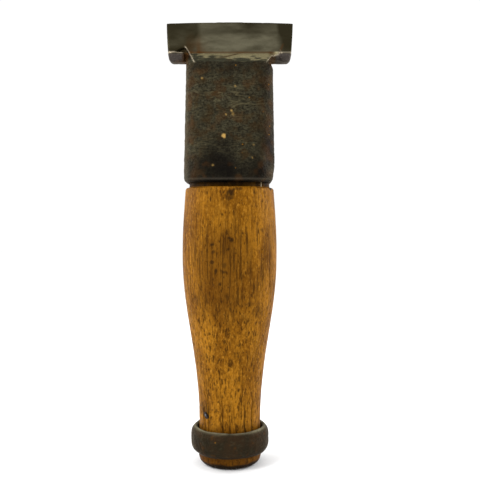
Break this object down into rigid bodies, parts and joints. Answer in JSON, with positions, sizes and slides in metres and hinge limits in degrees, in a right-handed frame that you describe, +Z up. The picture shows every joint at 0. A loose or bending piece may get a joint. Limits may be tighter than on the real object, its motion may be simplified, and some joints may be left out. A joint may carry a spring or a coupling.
{
  "type": "socket chisel",
  "caption": "Short, wide socket chisel with a forged iron socket head, welded steel edge, wooden handle and iron striking hoop.",
  "frame": {"origin": "centre of the handle's butt, where the tool stands on its end", "axes": "+Z up the handle's axis to the cutting edge, +X along the cutting edge, -Y the side the bevel is ground on"},
  "size_m": [0.0666, 0.0494, 0.233],
  "materials": {
    "handle_wood": "worn, oiled open-grained hardwood",
    "shim_wood": "bare split wood",
    "nail_iron": "dull iron, worn bright in the middle",
    "hoop_iron": "brown-black forged iron, lip worn lighter",
    "forged_iron": "hammered and pitted forged iron with traces of rust",
    "blade_steel": "smooth ground steel with a dark patina"
  },
  "bodies": {
    "handle": {"handle": "handle_wood", "tenon_shim": "shim_wood", "hoop_nail": "nail_iron"},
    "hoop": {"striking_hoop": "hoop_iron"},
    "head": {"socket_head": "forged_iron", "steel_bit": "blade_steel"}
  },
  "joints": [
    {"name": "socket_taper", "type": "slide", "parent": "handle", "child": "head", "axis": [0, 0, 1], "range_m": [0, 0.055]},
    {"name": "hoop_shift", "type": "slide", "parent": "handle", "child": "hoop", "axis": [0, 0, 1], "range_m": [-0.0065, 0.0048]}
  ]
}
